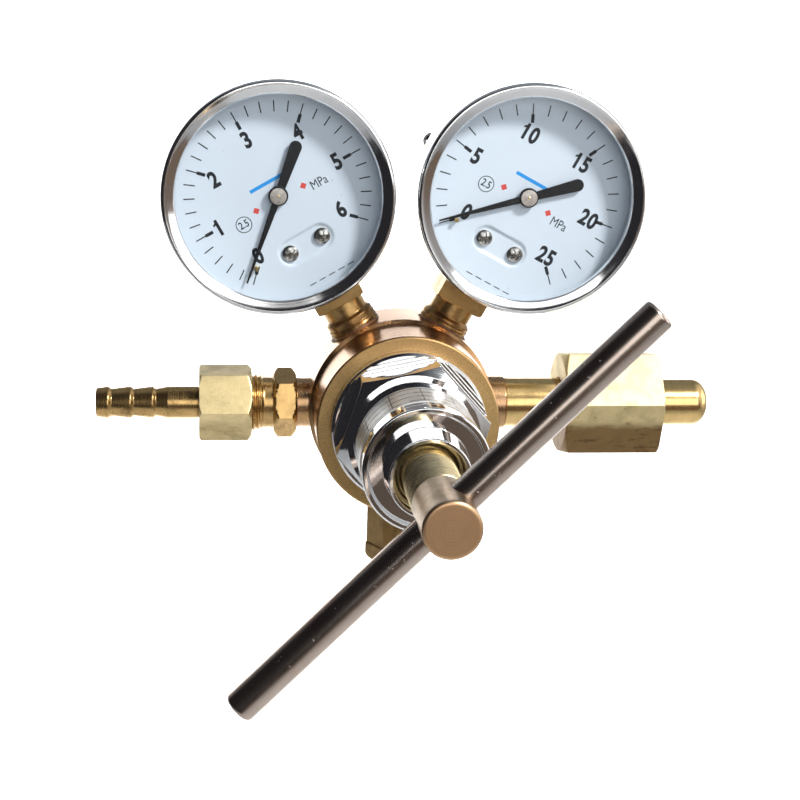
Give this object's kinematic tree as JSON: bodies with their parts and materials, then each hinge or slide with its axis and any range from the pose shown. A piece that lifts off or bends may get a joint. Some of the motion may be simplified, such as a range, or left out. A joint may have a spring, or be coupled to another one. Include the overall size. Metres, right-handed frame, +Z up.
{
  "type": "gas regulator",
  "caption": "Brass gas regulator: round body, chromed bonnet with a tee-bar adjusting screw, a pair of dial gauges above, nut and nose inlet at the right, hose tail at the left.",
  "frame": {"origin": "centre of the inlet nose's shoulder, where the nipple's hexagon ends and the nose begins", "axes": "+X along the inlet axis, out of the regulator into the cylinder valve; +Y from the adjusting screw to the rear plug; +Z up through the gauges"},
  "size_m": [0.1742, 0.1318, 0.1415],
  "materials": {
    "body_brass": "machined and brushed, satin",
    "nut_brass": "fine-blasted pale brass, satin",
    "fitting_brass": "turned brass",
    "nose_brass": "turned and polished brass",
    "screw_brass": "turned brass, slightly dulled",
    "movement_brass": "rolled brass sheet",
    "bonnet_chrome": "bright nickel-chrome plating",
    "case_chrome": "bright plated steel",
    "steel": "polished steel bar",
    "spring_steel": "oiled spring steel",
    "screw_steel": "zinc-plated steel",
    "label": "light grey foil",
    "dial_white": "matt white enamel",
    "lens_glass": "clear flat glass",
    "pointer_black": "matt black enamel",
    "rubber": "fabric-reinforced rubber",
    "filter_bronze": "sintered bronze"
  },
  "bodies": {
    "regulator": {"body": "body_brass", "bonnet": "bonnet_chrome", "label_band": "label", "diaphragm": "rubber", "slip_ring": "movement_brass", "main_spring": "spring_steel", "valve_nozzle": "fitting_brass", "poppet_spring": "spring_steel", "rear_plug": "fitting_brass", "inlet_filter": "filter_bronze", "inlet_stem": "nose_brass", "inlet_nipple": "nose_brass", "outlet_adapter": "fitting_brass", "relief_body": "fitting_brass", "relief_cap": "fitting_brass", "relief_spring": "spring_steel", "low_gauge_case": "case_chrome", "low_gauge_bezel": "case_chrome", "low_gauge_lens": "lens_glass", "low_gauge_dial": "dial_white", "low_gauge_dial_screws": "screw_steel", "low_gauge_stop_pin": "movement_brass", "low_gauge_case_screws": "movement_brass", "low_gauge_socket": "fitting_brass", "low_gauge_bourdon_tube": "movement_brass", "low_gauge_movement_frame": "movement_brass", "high_gauge_case": "case_chrome", "high_gauge_bezel": "case_chrome", "high_gauge_lens": "lens_glass", "high_gauge_dial": "dial_white", "high_gauge_dial_screws": "screw_steel", "high_gauge_stop_pin": "movement_brass", "high_gauge_case_screws": "movement_brass", "high_gauge_socket": "fitting_brass", "high_gauge_bourdon_tube": "movement_brass", "high_gauge_movement_frame": "movement_brass"},
    "spring_button": {"spring_button": "steel", "thrust_ball": "steel"},
    "tee_screw": {"adjusting_screw": "screw_brass", "tee_bar": "steel"},
    "valve": {"diaphragm_plate": "movement_brass", "push_pin": "movement_brass", "valve_poppet": "fitting_brass"},
    "hose_tail": {"hose_barb": "fitting_brass"},
    "outlet_nut": {"outlet_nut": "nut_brass"},
    "inlet_nut": {"inlet_nut": "nut_brass"},
    "relief_poppet": {"relief_poppet": "fitting_brass"},
    "low_sector": {"low_gauge_sector_gear": "movement_brass"},
    "low_link": {"low_gauge_link": "movement_brass"},
    "low_pointer": {"low_gauge_pinion": "movement_brass", "low_gauge_pointer": "pointer_black"},
    "high_sector": {"high_gauge_sector_gear": "movement_brass"},
    "high_link": {"high_gauge_link": "movement_brass"},
    "high_pointer": {"high_gauge_pinion": "movement_brass", "high_gauge_pointer": "pointer_black"}
  },
  "joints": [
    {"name": "screw_advance", "type": "slide", "parent": "regulator", "child": "spring_button", "axis": [0, 1, 0], "range_m": [0, 0.009], "deforming": ["main_spring"]},
    {"name": "screw_turn", "type": "hinge", "parent": "spring_button", "child": "tee_screw", "pos_m": [-0.0756, -0.1, 0], "axis": [0, 1, 0], "range_deg": [0, 2160]},
    {"name": "valve_lift", "type": "slide", "parent": "regulator", "child": "valve", "axis": [0, 1, 0], "range_m": [0, 0.001], "stiffness_N_per_m": 3000, "deforming": ["diaphragm", "poppet_spring", "main_spring"]},
    {"name": "hose_tail_withdraw", "type": "slide", "parent": "regulator", "child": "hose_tail", "axis": [-1, 0, 0], "range_m": [0, 0.0075]},
    {"name": "outlet_nut_turn", "type": "hinge", "parent": "hose_tail", "child": "outlet_nut", "pos_m": [-0.1256, 0, 0], "axis": [-1, 0, 0], "range_deg": [0, 1800]},
    {"name": "inlet_nut_turn", "type": "hinge", "parent": "regulator", "child": "inlet_nut", "pos_m": [-0.0156, 0, 0], "axis": [1, 0, 0], "continuous": true},
    {"name": "relief_lift", "type": "slide", "parent": "regulator", "child": "relief_poppet", "axis": [0, 0, -1], "range_m": [0, 0.0015], "stiffness_N_per_m": 1500, "deforming": ["relief_spring"]},
    {"name": "low_sector_swing", "type": "hinge", "parent": "regulator", "child": "low_sector", "pos_m": [-0.10383, -0.0075, 0.04832], "axis": [0, -1, 0], "range_deg": [0, 45], "stiffness_Nm_per_rad": 0.002, "deforming": ["low_gauge_bourdon_tube"]},
    {"name": "low_link_swing", "type": "hinge", "parent": "low_sector", "child": "low_link", "pos_m": [-0.10782, -0.0065, 0.05134], "axis": [0, -1, 0], "range_deg": [-45, 0]},
    {"name": "low_pointer_turn", "type": "hinge", "parent": "regulator", "child": "low_pointer", "pos_m": [-0.1109, -0.013, 0.0604], "axis": [0, 1, 0], "range_deg": [0, 270]},
    {"name": "high_sector_swing", "type": "hinge", "parent": "regulator", "child": "high_sector", "pos_m": [-0.04996, -0.0075, 0.04843], "axis": [0, -1, 0], "range_deg": [0, 45], "stiffness_Nm_per_rad": 0.002, "deforming": ["high_gauge_bourdon_tube"]},
    {"name": "high_link_swing", "type": "hinge", "parent": "high_sector", "child": "high_link", "pos_m": [-0.04949, -0.0065, 0.05341], "axis": [0, -1, 0], "range_deg": [-45, 0]},
    {"name": "high_pointer_turn", "type": "hinge", "parent": "regulator", "child": "high_pointer", "pos_m": [-0.04341, -0.013, 0.0608], "axis": [0, 1, 0], "range_deg": [0, 270]}
  ],
  "couplings": [
    {"joint": "screw_advance", "follows": "screw_turn", "m_per_rad": 0.00023873},
    {"joint": "hose_tail_withdraw", "follows": "outlet_nut_turn", "m_per_rad": 0.00023873},
    {"joint": "low_link_swing", "follows": "low_sector_swing", "ratio": -1},
    {"joint": "low_pointer_turn", "follows": "low_sector_swing", "ratio": 6},
    {"joint": "high_link_swing", "follows": "high_sector_swing", "ratio": -1},
    {"joint": "high_pointer_turn", "follows": "high_sector_swing", "ratio": 6}
  ]
}
